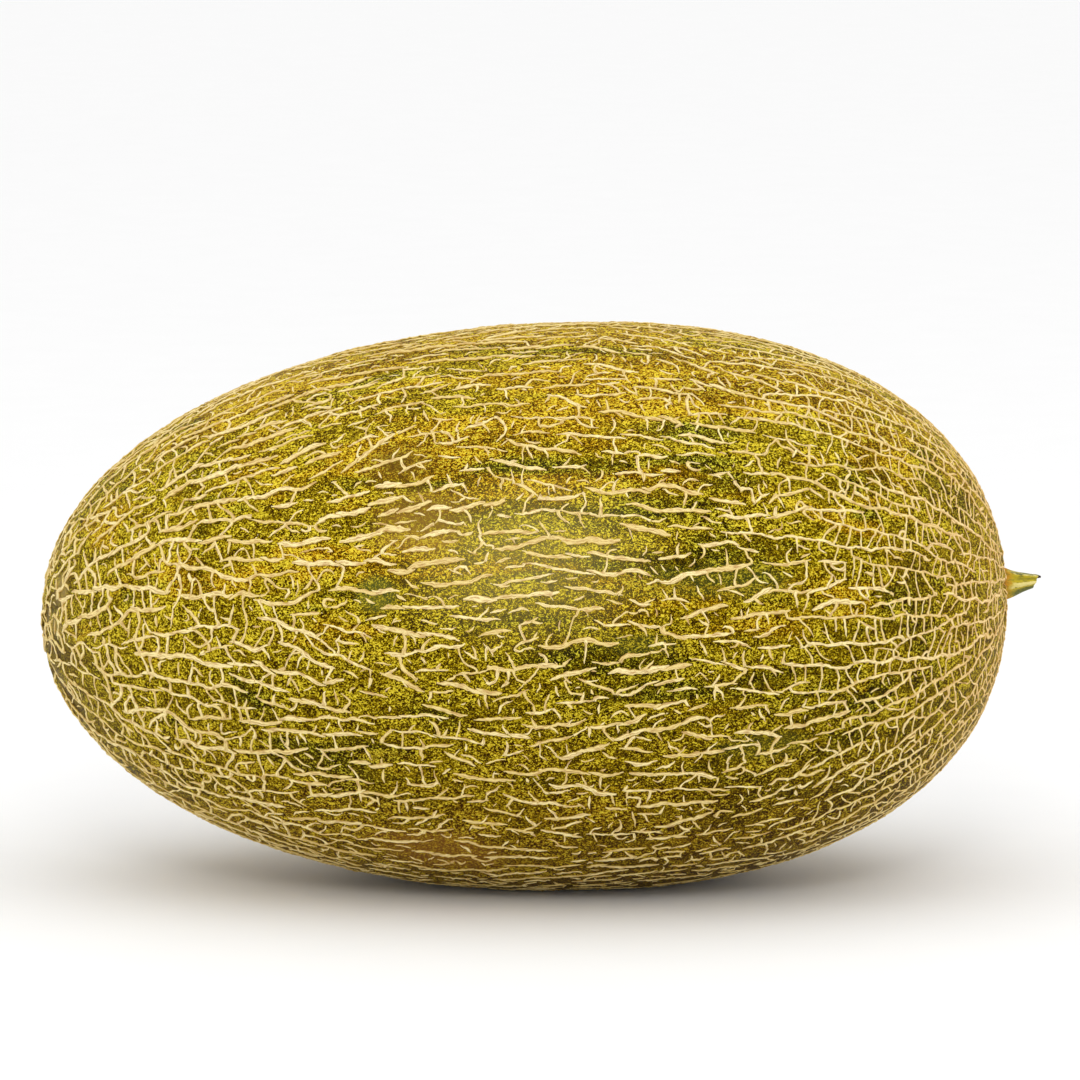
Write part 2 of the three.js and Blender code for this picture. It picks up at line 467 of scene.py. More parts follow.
    def grow_long_cracks(self):
        """Lengthwise cracks: broken strokes in the middle of the fruit, long lines at its ends."""
        dice = self.dice
        for _ in range(LONG_TRIES):
            place = self.random_place()
            point = self.point(*place)
            stem, blossom = self.zone(*place)
            ends = max(stem, blossom)
            low = float(smooth(*BELLY, point[2])) * (1 - ends)
            cross = self.crossness(place) * (1 - ends)
            if self.crowded(point, self.zoned(LONG_GAP, stem, blossom) * (1 + 0.2 * low)):
                continue
            dash = self.dash(mix(*LONG_DASH, max(low, cross**2)), 0.55, 5, 60)
            stray = 0.08 + 0.16 * cross**2
            lean = 0.15 * self.drift(point, 80.0) + dice.gauss(0, stray * min(1, 14 / dash))
            run, joined_start, joined_end = self.grow_both_ways(
                place, lean, mix(dash, dice.uniform(*LONG_RUN_AT_ENDS), ends**1.5),
                self.zoned(LONG_WANDER, stem, blossom) + 0.03 * cross, 0,
                self.zoned(LONG_HOLD, stem, blossom), self.zoned(LONG_JOIN, stem, blossom))
            if len(run) < LONG_LEAST_STEPS:
                continue
            size = min(1.0, len(run) * GROWTH_STEP / 14)
            width = LONG_NARROWEST
            width += size * dice.uniform(*LONG_BREADTH) * mix(1, 0.55, max(low, cross))
            width = mix(width, dice.uniform(*LONG_WIDTH_STEM), stem)
            width = mix(width, dice.uniform(*LONG_WIDTH_BLOSSOM), blossom)
            if len(run) > CHAIN_LEAST_STEPS and stem < 0.6:
                self.add_chain(run, width, not joined_start, not joined_end)
            else:
                self.add(run, width, not joined_start, not joined_end)

    def add_chain(self, run, width, free_start, free_end):
        """A long crack as a row of short ones, each turned a little out of the row and past the next."""
        dice = self.dice
        lean = 1 if self.drift(self.point(*run[0]), 70.0) > 0 else -1
        first = 0
        while first < len(run) - 1:
            last = first + dice.randint(*CHAIN_LINK)
            if last > len(run) - 7:
                last = len(run) - 1
            part = run[first:last + 1]
            slant = lean * dice.uniform(*CHAIN_SLANT) if dice.random() < 0.85 else 0
            turned = [
                (arc, turn + slant * (2 * k / (len(part) - 1) - 1) / self.meridian.at(arc)[1])
                for k, (arc, turn) in enumerate(part)]
            self.add(
                turned, width * dice.uniform(0.75, 1.2), free_start or first > 0,
                free_end or last < len(run) - 1)
            first = last - dice.randint(1, 3) if last < len(run) - 1 else last

    def starts(self, tries):
        """Random places along the cracks grown so far: (crack, place, heading along the crack)."""
        numbers = range(len(self.cracks))
        weights = np.cumsum([len(crack.run) for crack in self.cracks]).tolist()
        for number in self.dice.choices(numbers, cum_weights=weights, k=tries):
            run = self.cracks[number].run
            i = self.dice.randrange(1, len(run))
            arc, turn = run[i]
            radius = self.meridian.at(arc)[1]
            yield number, run[i], math.atan2((turn - run[i - 1][1]) * radius, arc - run[i - 1][0])

    def beside(self, place, heading, distance):
        """The point a little way from a place, in the direction of the heading."""
        arc, turn = place
        radius = self.meridian.at(arc)[1]
        return self.point(
            arc + distance * math.cos(heading), turn + distance * math.sin(heading) / radius)

    def grow_rungs(self):
        """Thin cracks across, that start on a long one."""
        dice = self.dice
        for number, place, along in self.starts(RUNG_TRIES):
            stem, blossom = self.zone(*place)
            ends = max(stem, blossom)
            cross = self.crossness(place)
            if dice.random() > mix(0.01 + 0.5 * cross**2, 1, ends):
                continue
            heading = along + dice.choice((-1, 1)) * dice.gauss(mix(0.7 + 0.5 * cross, 1.5, ends), 0.25)
            gap = self.zoned(RUNG_GAP, stem, blossom)
            if self.crowded(self.beside(place, heading, 1.4), gap, number):
                continue
            dash = self.dash(RUNG_DASH, 0.45, 1.8, 10)
            grown, joined = self.grow(
                place, heading, mix(dash, dice.uniform(*RUNG_RUN_AT_ENDS), ends),
                self.zoned(RUNG_WANDER, stem, blossom), dice.gauss(0, mix(0.06, 0.03, ends)),
                self.zoned(RUNG_HOLD, stem, blossom), self.zoned(RUNG_JOIN, stem, blossom), number)
            apart = dice.random() < 0.5 * (1 - stem) * (1 - 0.4 * blossom)
            run = grown[1:] if apart else [place] + grown
            if len(run) > 2:
                middle, at_stem, at_blossom = (dice.uniform(*bounds) for bounds in RUNG_WIDTH)
                width = mix(mix(middle, at_stem, stem), at_blossom, blossom)
                self.add(run, width, apart, not joined)

    def grow_strays(self):
        """Short cracks in the open skin."""
        dice = self.dice
        for _ in range(STRAY_TRIES):
            place = self.random_place()
            stem, blossom = self.zone(*place)
            if self.crowded(self.point(*place), self.zoned(STRAY_GAP, stem, blossom)):
                continue
            heading = dice.gauss(0, self.zoned(STRAY_HEADING, stem, blossom))
            if dice.random() < 0.75 * self.crossness(place):
                heading += math.pi / 2 + dice.gauss(0, 0.2)
            length = self.dash(STRAY_DASH, 0.5, 1.6, 13)
            run, joined_start, joined_end = self.grow_both_ways(
                place, heading, length, 0.2, dice.gauss(0, 0.14), 1.15, 0.25)
            if len(run) > 2:
                width = dice.uniform(*STRAY_WIDTH) + 0.4 * dice.random() * min(1, length / 6)
                self.add(run, width, not joined_start, not joined_end)

    def grow_twigs(self):
        """Spurs of a millimetre or two off cracks of every kind."""
        dice = self.dice
        for number, place, along in self.starts(TWIG_TRIES):
            if self.meridian.at(place[0])[1] < TWIG_CLEAR_OF_POLE:
                continue
            heading = along + dice.choice((0, math.pi)) + dice.choice((-1, 1)) * dice.uniform(0.45, 1.5)
            if self.crowded(self.beside(place, heading, 1.4), 1.05, number):
                continue
            grown, joined = self.grow(
                place, heading, dice.uniform(*TWIG_RUN), 0.15, dice.gauss(0, 0.1), 0.9, 0.4, number)
            if len(grown) > 1:
                self.add([place] + grown, dice.uniform(*TWIG_WIDTH), False, not joined)


def grown_net():
    net = Net(NET_SEED)
    net.grow_long_cracks()
    net.grow_rungs()
    net.grow_strays()
    net.grow_twigs()
    return net


# Handling of pieces


def deselect_all():
    for thing in bpy.context.selected_objects:
        thing.select_set(False)


def get_points(piece):
    points = np.empty(len(piece.data.vertices) * 3, np.float32)
    piece.data.vertices.foreach_get("co", points)
    return points.reshape(-1, 3).astype(float)


def set_points(piece, points):
    piece.data.vertices.foreach_set("co", np.asarray(points, np.float32).ravel())
    piece.data.update()


def lay_on_fruit(piece, points):
    """Gives a piece its points, from the body's frame."""
    set_points(piece, laid_down(points, np.zeros(len(points))))


def note(piece, name, values):
    attribute = piece.data.attributes.new(name, "FLOAT", "POINT")
    attribute.data.foreach_set("value", np.asarray(values, np.float32))


def divided(piece, levels):
    """Divides every face in four, as often as asked, and smooths the shape."""
    modifier = piece.modifiers.new("smooth", "SUBSURF")
    modifier.levels = modifier.render_levels = levels
    bpy.ops.object.modifier_apply(modifier=modifier.name)


def finish_closed(piece, levels):
    """Turns every face outwards, smooths the shape and its shading, and leaves no modifier."""
    deselect_all()
    piece.select_set(True)
    bpy.context.view_layer.objects.active = piece
    bpy.ops.object.mode_set(mode="EDIT")
    bpy.ops.mesh.select_all(action="SELECT")
    bpy.ops.mesh.normals_make_consistent(inside=False)
    bpy.ops.object.mode_set(mode="OBJECT")
    divided(piece, levels)
    piece.data.shade_smooth()


def drawn_disc(name, corners, rings, insets=0, inset=0.0):
    """A flat disc of radius 1, drawn up by 1 in rings, and its top then inset as often as asked."""
    deselect_all()
    bpy.ops.mesh.primitive_circle_add(vertices=corners, radius=1, fill_type="NGON", location=(0, 0, 0))
    piece = bpy.context.object
    piece.name = piece.data.name = name
    bpy.ops.object.mode_set(mode="EDIT")
    bpy.ops.mesh.select_all(action="SELECT")
    for _ in range(rings):
        bpy.ops.mesh.extrude_region_move(TRANSFORM_OT_translate={"value": (0, 0, 1 / rings)})
    for _ in range(insets):
        bpy.ops.mesh.inset(thickness=inset)
    bpy.ops.object.mode_set(mode="OBJECT")
    return piece


def disc_places(piece):
    """(height, distance from the axis, turn about the axis) of a drawn disc's points."""
    points = get_points(piece)
    return points[:, 2], np.hypot(points[:, 0], points[:, 1]), np.arctan2(points[:, 1], points[:, 0])


# The net's pieces


class Runs:
    """Many cracks' places in one row, so that each sum is worked out for all of them at once."""

    def __init__(self, cracks):
        self.cracks = cracks
        lengths = np.array([len(crack.run) for crack in cracks])
        self.owner = np.repeat(np.arange(len(cracks)), lengths)
        self.first = np.concatenate([[0], np.cumsum(lengths)[:-1]])
        self.last = self.first + lengths - 1
        here = np.arange(lengths.sum())
        self.before = np.maximum(here - 1, self.first[self.owner])
        self.after = np.minimum(here + 1, self.last[self.owner])
        self.inside = (self.before < here) & (self.after > here)

    def of_each(self, values):
        """A value of each crack, at each of its places."""
        return np.asarray(values)[self.owner]

    def travelled(self, points):
        steps = np.linalg.norm(points - points[self.before], axis=1)
        total = np.cumsum(steps)
        return total - total[self.first][self.owner]


def half_widths(runs, travelled, dice):
    """The ridges' half widths: pointed at free ends, spread where they join another ridge."""
    total = travelled[runs.last][runs.owner]
    phase, second = (runs.of_each(dice.uniform(0, WHOLE_TURN, len(runs.cracks))) for _ in range(2))
    width = runs.of_each([crack.width / 2 for crack in runs.cracks])
    width = width * (
        1 + 0.16 * np.sin(0.8 * travelled + phase) + 0.13 * np.sin(2.1 * travelled + second))
    taper = np.minimum(TAPER_LENGTH, TAPER_SHARE * total) + 1e-6
    starts = runs.of_each([crack.free_start for crack in runs.cracks])
    ends = runs.of_each([crack.free_end for crack in runs.cracks])
    for free, left in ((starts, travelled), (ends, total - travelled)):
        pointed = np.clip(left / taper, TIP_SHARE, 1) ** 0.5
        spread = 1 + JOINT_SPREAD * np.exp(-((left / JOINT_REACH) ** 2))
        width = width * np.where(free, pointed, spread)
    return width


def ridge_faces(runs, count, rows):
    """The closed ridges' faces: (corner counts, corners)."""
    start = np.arange(count)[runs.after > np.arange(count)] * rows
    row = np.arange(rows)
    a = start[:, None] + row
    b = start[:, None] + (row + 1) % rows
    sides = np.stack([a, b, b + rows, a + rows], -1).reshape(-1)
    caps = np.concatenate([
        (runs.first * rows)[:, None] + row[::-1], (runs.last * rows)[:, None] + row]).reshape(-1)
    counts = np.concatenate([np.full(len(sides) // 4, 4), np.full(len(caps) // rows, rows)])
    return counts, np.concatenate([sides, caps])


def ridges(cracks, meridian, outline, dice):
    """Closed ridges along the cracks: (points, faces' corner counts, faces' corners, notes)."""
    runs = Runs(cracks)
    places = np.concatenate([np.array(crack.run) for crack in cracks])
    eased = 0.16 * places[runs.before] + 0.68 * places + 0.16 * places[runs.after]
    places = np.where(runs.inside[:, None], eased, places)
    middle, outward = skin(meridian.directions(places))
    middle = middle + runs.inside[:, None] * PATH_JITTER * dice.standard_normal(middle.shape)
    travelled = runs.travelled(middle)
    width = half_widths(runs, travelled, dice)
    height = RIDGE_HEIGHT * (2 * width) ** 0.85 * runs.of_each(dice.uniform(0.85, 1.15, len(cracks)))
    side = np.cross(middle[runs.after] - middle[runs.before], outward)
    side /= np.linalg.norm(side, axis=1, keepdims=True) + 1e-9

    rows = len(outline)
    count = len(places)
    points = np.empty((count, rows, 3))
    for row, (share, rise) in enumerate(outline):
        lift = np.full(count, -FOOT_DEPTH) if rise is None else rise * height
        ragged = share * (1 + 0.13 * dice.standard_normal(count)) + 0.04 * dice.standard_normal(count)
        ring = middle - side * (ragged * width)[:, None] + outward * lift[:, None]
        points[:, row] = laid_down(ring, lift)
    notes = {
        "across": np.tile([float(share) for share, _ in outline], (count, 1)),
        "along": np.repeat(travelled[:, None], rows, 1),
        "tone": np.repeat(runs.of_each(dice.random_sample(len(cracks)))[:, None], rows, 1),
        "breadth": np.repeat(2 * width[:, None], rows, 1),
    }
    counts, corners = ridge_faces(runs, count, rows)
    return points.reshape(-1, 3), counts, corners, notes


def mesh_piece(name, sheets):
    """One piece of several sheets of points and faces, with their notes as attributes."""
    points, counts, corners, notes = zip(*sheets)
    offsets = np.cumsum([0] + [len(part) for part in points[:-1]])
    corners = np.concatenate([part + offset for part, offset in zip(corners, offsets)])
    counts = np.concatenate(counts)
    points = np.concatenate(points)
    mesh = bpy.data.meshes.new(name)
    mesh.vertices.add(len(points))
    mesh.vertices.foreach_set("co", points.astype(np.float32).ravel())
    mesh.loops.add(len(corners))
    mesh.loops.foreach_set("vertex_index", corners.astype(np.int32))
    mesh.polygons.add(len(counts))
    mesh.polygons.foreach_set("loop_start", (np.cumsum(counts) - counts).astype(np.int32))
    mesh.update(calc_edges=True)
    mesh.shade_smooth()
    piece = bpy.data.objects.new(name, mesh)
    bpy.context.scene.collection.objects.link(piece)
    for key in notes[0]:
        note(piece, key, np.concatenate([part[key].ravel() for part in notes]))
    return piece


def make_net():
    """The net's pieces: the broad cracks as split ridges, and the slim ones as round ridges."""
    net = grown_net()
    dice = np.random.RandomState(NET_SEED)
    parts = {name: [] for name, _ in NET_PARTS}
    for crack in net.cracks:
        x, _ = net.meridian.at(crack.run[len(crack.run) // 2][0])
        parts[next(name for name, limit in NET_PARTS if x < limit)].append(crack)
    pieces = []
    for name, cracks in parts.items():
        broad = [crack for crack in cracks if crack.width > SPLIT_WIDTH]
        slim = [crack for crack in cracks if crack.width <= SPLIT_WIDTH]
        sheets = [
            ridges(kind, net.meridian, outline, dice)
            for kind, outline in ((broad, SPLIT_RIDGE), (slim, ROUND_RIDGE)) if kind]
        pieces.append(mesh_piece(name, sheets))
    return pieces


# The skin, the stub and the scar


def make_rind():
    """The skin: a ball, divided finely, whose poles are turned to the fruit's ends and then shaped."""
    deselect_all()
    bpy.ops.mesh.primitive_uv_sphere_add(segments=80, ring_count=72, radius=1, location=(0, 0, 0))
    rind = bpy.context.object
    rind.name = rind.data.name = "rind"
    divided(rind, 2)
    ball = get_points(rind)
    ball /= np.linalg.norm(ball, axis=1, keepdims=True)
    points, _ = skin(ball[:, [2, 0, 1]])
    lay_on_fruit(rind, points)
    # The depth of the blossom end's folds, which the skin's finish darkens as painted shade.
    note(rind, "furrow", np.clip(-pucker(points, "blossom"), 0, 1))
    rind.data.shade_smooth()
    return rind


def make_stub():
    """The dry stem stub: a disc drawn out ring by ring, then ribbed, bent and cut on the slant."""
    stub = drawn_disc("stem_stub", 60, 16, insets=3, inset=0.22)
    share, reach, turn = disc_places(stub)
    at_cut = share > 0.999
    rib = np.cos(STUB_RIBS * turn + 0.5)
    fine = np.cos(3 * STUB_RIBS * turn + 2.0 * share)
    radius = STUB_TIP_RADIUS + (STUB_ROOT_RADIUS - STUB_TIP_RADIUS) * (1 - share) ** STUB_FLARE
    shaped = radius * reach * (1 + 0.1 * rib + 0.025 * fine + 0.03 * np.sin(9 * share + turn))
    slant = STUB_CUT_SLANT * share**4 * shaped * np.sin(turn)
    hollow = STUB_CUT_HOLLOW * (1 - reach) * at_cut
    height = share * (STUB_STANDS + STUB_SINK) - STUB_SINK + slant - hollow
    height += 0.12 * at_cut * rib * reach
    across = shaped * np.cos(turn)
    up = shaped * np.sin(turn) + STUB_BEND * share**2 - STUB_DROP
    lay_on_fruit(stub, STEM_POLE + np.stack([height, -across, up], -1))
    note(stub, "along", share)
    note(stub, "rib", rib)
    note(stub, "underside", -np.sin(turn))
    note(stub, "cut_end", at_cut * (1 - reach))
    finish_closed(stub, 1)
    return stub


def make_stub_fibre():
    """The dark wisp at the upper side of the stub's cut: drawn out, bent and twisted to a point."""
    wisp = drawn_disc("stub_fibre", 10, 9)
    share, _, turn = disc_places(wisp)
    radius = WISP_RADIUS * (1 - 0.6 * share**2) * (1 + 0.18 * np.cos(3 * turn + 5 * share))
    along = STUB_STANDS - WISP_ROOTED + WISP_LENGTH * share
    across = 0.3 * np.sin(4 * share) + radius * np.cos(turn)
    up = WISP_UP + STUB_BEND - STUB_DROP + 0.35 * np.sin(2.6 * share + 0.3) + radius * np.sin(turn)
    lay_on_fruit(wisp, STEM_POLE + np.stack([along, -across, up], -1))
    finish_closed(wisp, 1)
    return wisp


def make_blossom_scar():
    """The round corky scar of the blossom: a disc inset ring by ring, then raised and dished."""
    scar = drawn_disc("blossom_scar", 48, 1, insets=8, inset=0.11)
    top, reach, turn = disc_places(scar)
    wobble = 1 + 0.07 * np.cos(3 * turn + 1) + 0.04 * np.cos(7 * turn)
    across = SCAR_RADIUS * reach * wobble
    dish = 0.5 * np.exp(-((reach / 0.3) ** 2))
    height = top * (SCAR_STANDS - 0.15 * np.cos(11 * reach) * reach - dish)
    height += (top - 1) * SCAR_SINK
    height -= 0.4 * reach**4 * top
    lay_on_fruit(scar, BLOSSOM_POLE + np.stack([-height, across * np.cos(turn), across * np.sin(turn)], -1))
    note(scar, "reach", reach)
    finish_closed(scar, 1)
    return scar


# Finishes


class Socket:
    """An output of a node, on which sums work as on a number."""

    def __init__(self, finish, output):
        self.finish = finish
        self.output = output

    def math(self, operation, *values):
        settings = {"operation": operation}
        return self.finish.node("ShaderNodeMath", settings, dict(enumerate(values)))[0]

    def __add__(self, other):
        return self.math("ADD", self, other)

    def __sub__(self, other):
        return self.math("SUBTRACT", self, other)

    def __rsub__(self, other):
        return self.math("SUBTRACT", other, self)

    def __mul__(self, other):
        return self.math("MULTIPLY", self, other)

    def __abs__(self):
        return self.math("ABSOLUTE", self)

    __radd__ = __add__
    __rmul__ = __mul__


class Finish:
    """A material whose nodes are written as expressions."""

    def __init__(self, name):
        self.material = bpy.data.materials.new(name)
        self.material.use_nodes = True
        self.tree = self.material.node_tree
        self.tree.nodes.clear()

    def node(self, kind, settings, sockets):
        """Adds a node, sets it up, fills its inputs with values or links, and gives its outputs."""
        node = self.tree.nodes.new(kind)
        for name, value in settings.items():
            setattr(node, name, value)
        for key, value in sockets.items():
            if isinstance(value, Socket):
                self.tree.links.new(value.output, node.inputs[key])
            else:
                node.inputs[key].default_value = value
        return [Socket(self, output) for output in node.outputs]

    def vector(self, operation, *values, scale=None):
        sockets = dict(enumerate(values))
        if scale is not None:
            sockets["Scale"] = scale
        return self.node("ShaderNodeVectorMath", {"operation": operation}, sockets)

    def place(self):
        """The point of the surface, in millimetres."""
        metres = self.node("ShaderNodeTexCoord", {}, {})[3]
        return self.vector("SCALE", metres, scale=1 / MM)[0]

    def stretched(self, place, shares):
        return self.vector("MULTIPLY", place, shares)[0]

    def noise(self, place, size, detail=2.0, roughness=0.5, distortion=0.0):
        """Cloudy noise from 0 to 1, about 0.5, with clouds of the size given."""
        return self.node(
            "ShaderNodeTexNoise", {"noise_dimensions": "3D"},
            {"Vector": place, "Scale": 1 / size, "Detail": detail, "Roughness": roughness,
             "Distortion": distortion})[0]

    def step(self, value, low, high):
        """0 below low, 1 above high, and smooth between them."""
        return self.node(
            "ShaderNodeMapRange", {"interpolation_type": "SMOOTHSTEP"},
            {"Value": value, "From Min": low, "From Max": high})[0]

    def blend(self, first, second, share, mode="MIX"):
        settings = {"data_type": "RGBA", "blend_type": mode, "clamp_factor": True}
        return self.node("ShaderNodeMix", settings, {0: share, 6: first, 7: second})[2]

    def combined(self, x, y, z):
        return self.node("ShaderNodeCombineXYZ", {}, {0: x, 1: y, 2: z})[0]

    def attribute(self, name):
        return self.node("ShaderNodeAttribute", {"attribute_name": name}, {})[2]

    def bump(self, height, distance, strength=1.0):
        return self.node(
            "ShaderNodeBump", {}, {"Height": height, "Distance": distance * MM, "Strength": strength})[0]

    def surface(self, sockets):
        shader = self.node("ShaderNodeBsdfPrincipled", {}, sockets)[0]
        self.node("ShaderNodeOutputMaterial", {}, {"Surface": shader})
        return self.material


def colour(red, green, blue):
    """A colour picked as on a screen, 0 to 255, as the shader's linear values."""
    def linear(value):
        share = value / 255
        return share / 12.92 if share <= 0.04045 else ((share + 0.055) / 1.055) ** 2.4
    return (linear(red), linear(green), linear(blue), 1.0)


WARM_SHEEN = colour(255, 236, 170)

# The skin's dark ground and its yellow mottle, and how the regions tint both: region, the ground's
# colour and share, the mottle's colour and share.
RIND_GROUND = colour(44, 24, 0)
RIND_PATTERN = colour(164, 138, 2)
REGION_TINTS = (
    ("green", colour(25, 19, 0), 1.0, colour(124, 113, 4), 1.0),
    ("ripe", colour(66, 33, 0), 0.7, colour(196, 136, 2), 0.8),
    # Painted shade: darker ground and mottle on the fruit's low side and towards the stem end.
    ("painted_low_shade", colour(32, 17, 0), 0.6, colour(126, 100, 2), 0.4),
    ("belly", colour(54, 24, 0), 0.55, colour(154, 98, 8), 0.55),
    ("stem_end", colour(80, 54, 4), 0.35, colour(180, 144, 24), 0.5),
)

# Marks of the skin, with a painted highlight and a patch of painted shade among them: name, middle in mm,
# reach in mm, how much longer along the fruit, raggedness, colour, strength, and how soft the edge is.
MARKS = (
    # A painted highlight: the soft pale patch on the front's upper middle, where a lamp's sheen falls.
    ("painted_highlight", (-4.0, -78.0, 106.0), 17.0, 1.5, 5.0, colour(196, 184, 104), 0.27, 0.9),
    # Painted shade: the blossom end darkened where its folds sink in.
    ("painted_blossom_shade", (-139.0, -12.0, 62.0), 26.0, 1.0, 9.0, colour(84, 62, 18), 0.55, 0.6),
    ("bruise", (-39.7, -59.4, 129.6), 3.4, 1.2, 2.6, colour(70, 46, 14), 0.85, 0.4),
    ("bruise_halo", (-39.0, -60.0, 128.5), 7.0, 1.5, 3.5, colour(106, 78, 20), 0.6, 0.4),
    ("russet", (-33.4, -70.3, 115.0), 8.5, 1.5, 4.0, colour(150, 112, 44), 0.62, 0.5),
    ("green_spot", (-45.6, -75.0, 94.9), 5.0, 1.1, 1.6, colour(88, 94, 36), 0.7, 0.4),
    ("red_brown", (-28.4, -49.7, 17.7), 10.0, 1.7, 5.0, colour(134, 88, 34), 0.55, 0.5),
    # Two greyish patches at the blossom end's edge.
    ("grey_patch_blossom", (-137.3, -22.9, 88.3), 4.5, 1.0, 2.0, colour(160, 138, 84), 0.7, 0.4),
    ("grey_patch_low", (-138.6, -22.5, 78.1), 3.6, 1.0, 2.0, colour(140, 120, 76), 0.7, 0.4),
    ("dark_streak_high", (52.8, -76.1, 99.0), 5.0, 5.5, 2.5, colour(66, 72, 24), 0.62, 0.5),
    ("dark_streak_low", (64.3, -69.9, 51.4), 4.0, 4.5, 2.5, colour(66, 68, 18), 0.6, 0.5),
    ("dark_streak_middle", (27.7, -81.2, 81.5), 3.0, 3.5, 2.0, colour(60, 68, 24), 0.6, 0.5),
)


def rind_regions(finish, place, cloud, bands):
    """The skin's regions, each 0 to 1: green bands, ripe streaks, painted shade on the low side and towards
    the stem end, brown belly, stem end.
    """
    x, _, z = finish.node("ShaderNodeSeparateXYZ", {}, {"Vector": place})
    broad = finish.noise(place, 62, 1.0)
    gold = finish.noise(finish.stretched(place, (0.16, 1, 1)), 15, 4.0, 0.6)
    stem_end = finish.step(x + 30 * (cloud - 0.5), 88, 134)
    return {
        "green": finish.step(bands + 0.4 * (broad - 0.5) + 0.0003 * x - 0.1 * stem_end, 0.5, 0.66),
        "ripe": finish.step(gold + 0.0024 * (z - 105), 0.49, 0.62),
        # Painted shade: rises towards the bottom of the fruit and towards its stem end.
        "painted_low_shade": finish.step(0.3 * x - 1.2 * (z - 80), -110, 150),
        "belly": finish.step(z + 60 * (cloud - 0.5) + 40 * (bands - 0.5), 60, 16),
        "stem_end": stem_end,
    }


def rind_mottle(finish, place, grain, cloud, regions):
    """Fine worm-like mottle, about 0.5, a little drawn out along the fruit."""
    drawn = finish.stretched(place, (0.75, 1, 1))
    worms = finish.noise(drawn, 0.42, 1.0, 0.5, 1.1)
    coarse = finish.noise(drawn, 1.0, 1.0, 0.5, 1.3)
    mottle = 0.57 * worms + 0.33 * coarse + 0.1 * grain - 0.18 * (cloud - 0.5)
    mottle = mottle - 0.03 * regions["green"] + 0.01 * regions["ripe"]
    # Painted shade: a little less pale mottle on the low side.
    return mottle - 0.035 * (regions["painted_low_shade"] - 0.5)


def marked(finish, base, place, cloud, bands, bright):
    """The base colour with the skin's marks on it."""
    for _, middle, reach, longer, ragged, tint, strength, soft in MARKS:
        away = finish.vector("SUBTRACT", place, middle)[0]
        far = finish.vector("LENGTH", finish.stretched(away, (1 / longer, 1, 1)))[1]
        far = far + 2 * ragged * (cloud - 0.5) + 1.5 * ragged * (bands - 0.5)
        mark = finish.step(far, reach * (1 + soft), reach * (1 - soft))
        shade = finish.blend(tint, base, 0.35 * bright)
        base = finish.blend(base, shade, mark * strength)
    return base


def rind_finish():
    """Yellow-green skin: dark ground, yellow mottle and pale specks, tinted by region, with marks; painted
    shade on the low side, over the blossom end and in its folds, and a painted highlight.
    """
    finish = Finish("melon_rind")
    place = finish.place()
    bands = finish.noise(finish.stretched(place, (0.11, 1, 1)), 10, 4.0, 0.6)
    cloud = finish.noise(finish.stretched(place, (0.5, 1, 1)), 8, 3.0, 0.65, 0.4)
    grain = finish.noise(place, 0.26, 1.0, 0.5, 0.4)
    regions = rind_regions(finish, place, cloud, bands)
    mottle = rind_mottle(finish, place, grain, cloud, regions)
    bright = finish.step(mottle, 0.494, 0.526)
    light = finish.step(mottle, 0.556, 0.588)
    curl = finish.noise(place, 0.95, 1.2, 0.5, 1.5)
    curls = finish.step(abs(curl - 0.5), 0.034, 0.012) * finish.step(cloud, 0.42, 0.56)

    ground = RIND_GROUND
    pattern = RIND_PATTERN
    for region, dark, dark_share, yellow, yellow_share in REGION_TINTS:
        ground = finish.blend(ground, dark, regions[region] * dark_share)
        pattern = finish.blend(pattern, yellow, regions[region] * yellow_share)
    speck = finish.blend(colour(238, 217, 62), colour(210, 210, 70), regions["green"] * 0.8)
    # Painted shade: duller specks on the low side.
    speck = finish.blend(speck, colour(210, 190, 52), regions["painted_low_shade"])
    base = finish.blend(ground, pattern, bright)
    base = finish.blend(base, colour(176, 144, 4), curls * 0.6)
    base = finish.blend(base, speck, light * 0.9)
    # Painted shade: the skin is darkened in the blossom end's folds.
    furrow = finish.step(finish.attribute("furrow") + 0.8 * (cloud - 0.5), 0.1, 0.8)
    base = finish.blend(base, finish.blend(colour(70, 48, 8), base, 0.3), furrow * 0.8)
    base = marked(finish, base, place, cloud, bands, bright)
    return finish.surface({
        "Base Color": base,
        "Roughness": 0.4 + 0.16 * grain + 0.06 * bright,
        "Normal": finish.bump(mottle, 0.14, 0.6),
        "Specular IOR Level": 0.045,
        "Specular Tint": WARM_SHEEN,
    })


